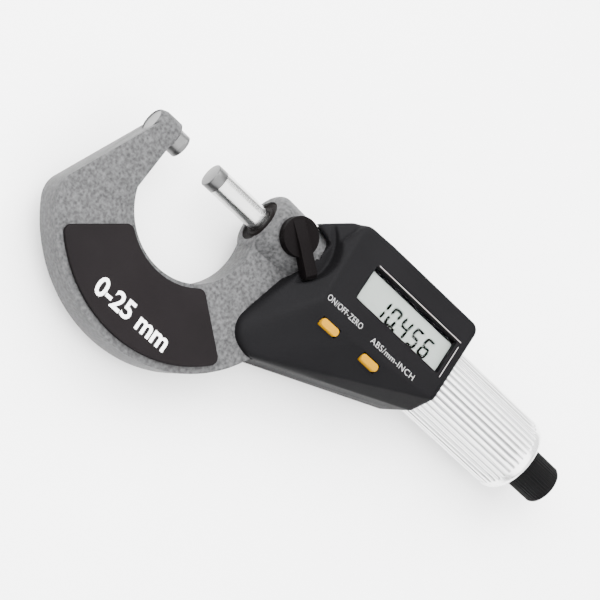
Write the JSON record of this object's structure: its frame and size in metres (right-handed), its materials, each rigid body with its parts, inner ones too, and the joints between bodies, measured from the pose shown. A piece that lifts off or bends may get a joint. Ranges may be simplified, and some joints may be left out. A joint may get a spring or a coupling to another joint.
{
  "type": "outside micrometer",
  "caption": "Digital outside micrometer with a C-shaped bow, battery-powered display housing, fluted thimble, friction ratchet and spindle lock.",
  "frame": {"origin": "centre of the anvil's measuring face, on the measuring axis", "axes": "+X along the measuring axis from the anvil to the ratchet; +Y across the bow, from the bow towards the spindle and up the display's digits; +Z out of the display"},
  "size_m": [0.1584, 0.0638, 0.0271],
  "materials": {
    "enamelled_bow": "hammered satin",
    "grip_plastic": "fine matt",
    "housing_plastic": "satin",
    "hard_metal": "lapped",
    "ground_steel": "ground",
    "chromed_steel": "satin chrome",
    "thimble_metal": "satin",
    "bronze": "turned",
    "black_rubber": "matt",
    "black_plastic": "satin",
    "yellow_rubber": "matt",
    "clear_pane": "clear",
    "lcd_glass": "matt",
    "board_laminate": "satin",
    "copper_film": "film",
    "pink_elastomer": "matt"
  },
  "bodies": {
    "body": {"frame": "enamelled_bow", "anvil": "ground_steel", "anvil_tip": "hard_metal", "front_grip_plate": "grip_plastic", "rear_grip_plate": "grip_plastic", "spindle_bush": "bronze", "spindle_seal": "black_rubber", "lock_washer": "chromed_steel", "inner_sleeve": "chromed_steel", "adjusting_nut": "ground_steel", "encoder_stator": "board_laminate", "stator_screws": "chromed_steel", "rotor_washer": "chromed_steel", "housing_front": "housing_plastic", "housing_rear": "housing_plastic", "housing_screws": "chromed_steel", "lcd_window": "clear_pane", "lcd_holder": "black_plastic", "lcd_panel": "lcd_glass", "contact_strips": "pink_elastomer", "display_board": "board_laminate", "board_screws": "chromed_steel", "controller_chip": "black_plastic", "ribbon_cable": "copper_film", "switch_board": "board_laminate", "dome_switches": "chromed_steel", "battery": "chromed_steel", "battery_contact_top": "bronze", "battery_contact_side": "bronze"},
    "encoder_drive": {"encoder_rotor": "board_laminate", "rotor_hub": "bronze", "drive_key": "ground_steel"},
    "spindle_group": {"spindle": "ground_steel", "spindle_tip": "hard_metal", "thimble": "thimble_metal", "ratchet_screw": "ground_steel", "ratchet_gear": "ground_steel", "knob_screw": "chromed_steel"},
    "knob": {"ratchet_knob": "black_plastic", "knob_cap": "black_plastic", "ratchet_spring": "ground_steel"},
    "click": {"click_ring": "ground_steel"},
    "lock": {"lock_lever": "black_plastic", "lock_shaft": "ground_steel"},
    "shoe": {"lock_shoe": "bronze"},
    "left_button": {"button_left": "yellow_rubber"},
    "right_button": {"button_right": "yellow_rubber"},
    "cap_thread": {"battery_cap_ring": "black_rubber"},
    "cap": {"battery_cap": "black_plastic"}
  },
  "joints": [
    {"name": "thimble_turn", "type": "hinge", "parent": "body", "child": "encoder_drive", "pos_m": [0.05, 0, 0], "axis": [1, 0, 0], "range_deg": [-7529, 10472]},
    {"name": "spindle_travel", "type": "slide", "parent": "encoder_drive", "child": "spindle_group", "axis": [1, 0, 0], "range_m": [-0.01046, 0.01454]},
    {"name": "ratchet_turn", "type": "hinge", "parent": "spindle_group", "child": "knob", "pos_m": [0.13, 0, 0], "axis": [1, 0, 0], "continuous": true},
    {"name": "click_slide", "type": "slide", "parent": "knob", "child": "click", "axis": [1, 0, 0], "range_m": [0, 0.00042], "stiffness_N_per_m": 800, "deforming": ["ratchet_spring"]},
    {"name": "lock_turn", "type": "hinge", "parent": "body", "child": "lock", "pos_m": [0.0346, 0, 0.009], "axis": [0, 0, 1], "range_deg": [-60, 0]},
    {"name": "shoe_press", "type": "slide", "parent": "body", "child": "shoe", "axis": [0, 0, -1], "range_m": [0, 0.0000795]},
    {"name": "left_button_press", "type": "slide", "parent": "body", "child": "left_button", "axis": [0, 0, -1], "range_m": [0, 0.0005], "stiffness_N_per_m": 800},
    {"name": "right_button_press", "type": "slide", "parent": "body", "child": "right_button", "axis": [0, 0, -1], "range_m": [0, 0.0005], "stiffness_N_per_m": 800},
    {"name": "cap_lift", "type": "slide", "parent": "body", "child": "cap_thread", "axis": [0, 0, -1], "range_m": [0, 0.00224]},
    {"name": "cap_turn", "type": "hinge", "parent": "cap_thread", "child": "cap", "pos_m": [0.0515, -0.0184, -0.0047], "axis": [0, 0, -1], "range_deg": [-1080, 0]}
  ],
  "couplings": [
    {"joint": "thimble_turn", "follows": "spindle_travel", "rad_per_m": 12566},
    {"joint": "lock_turn", "follows": "shoe_press", "rad_per_m": -13158},
    {"joint": "cap_turn", "follows": "cap_lift", "rad_per_m": -8377.6}
  ]
}
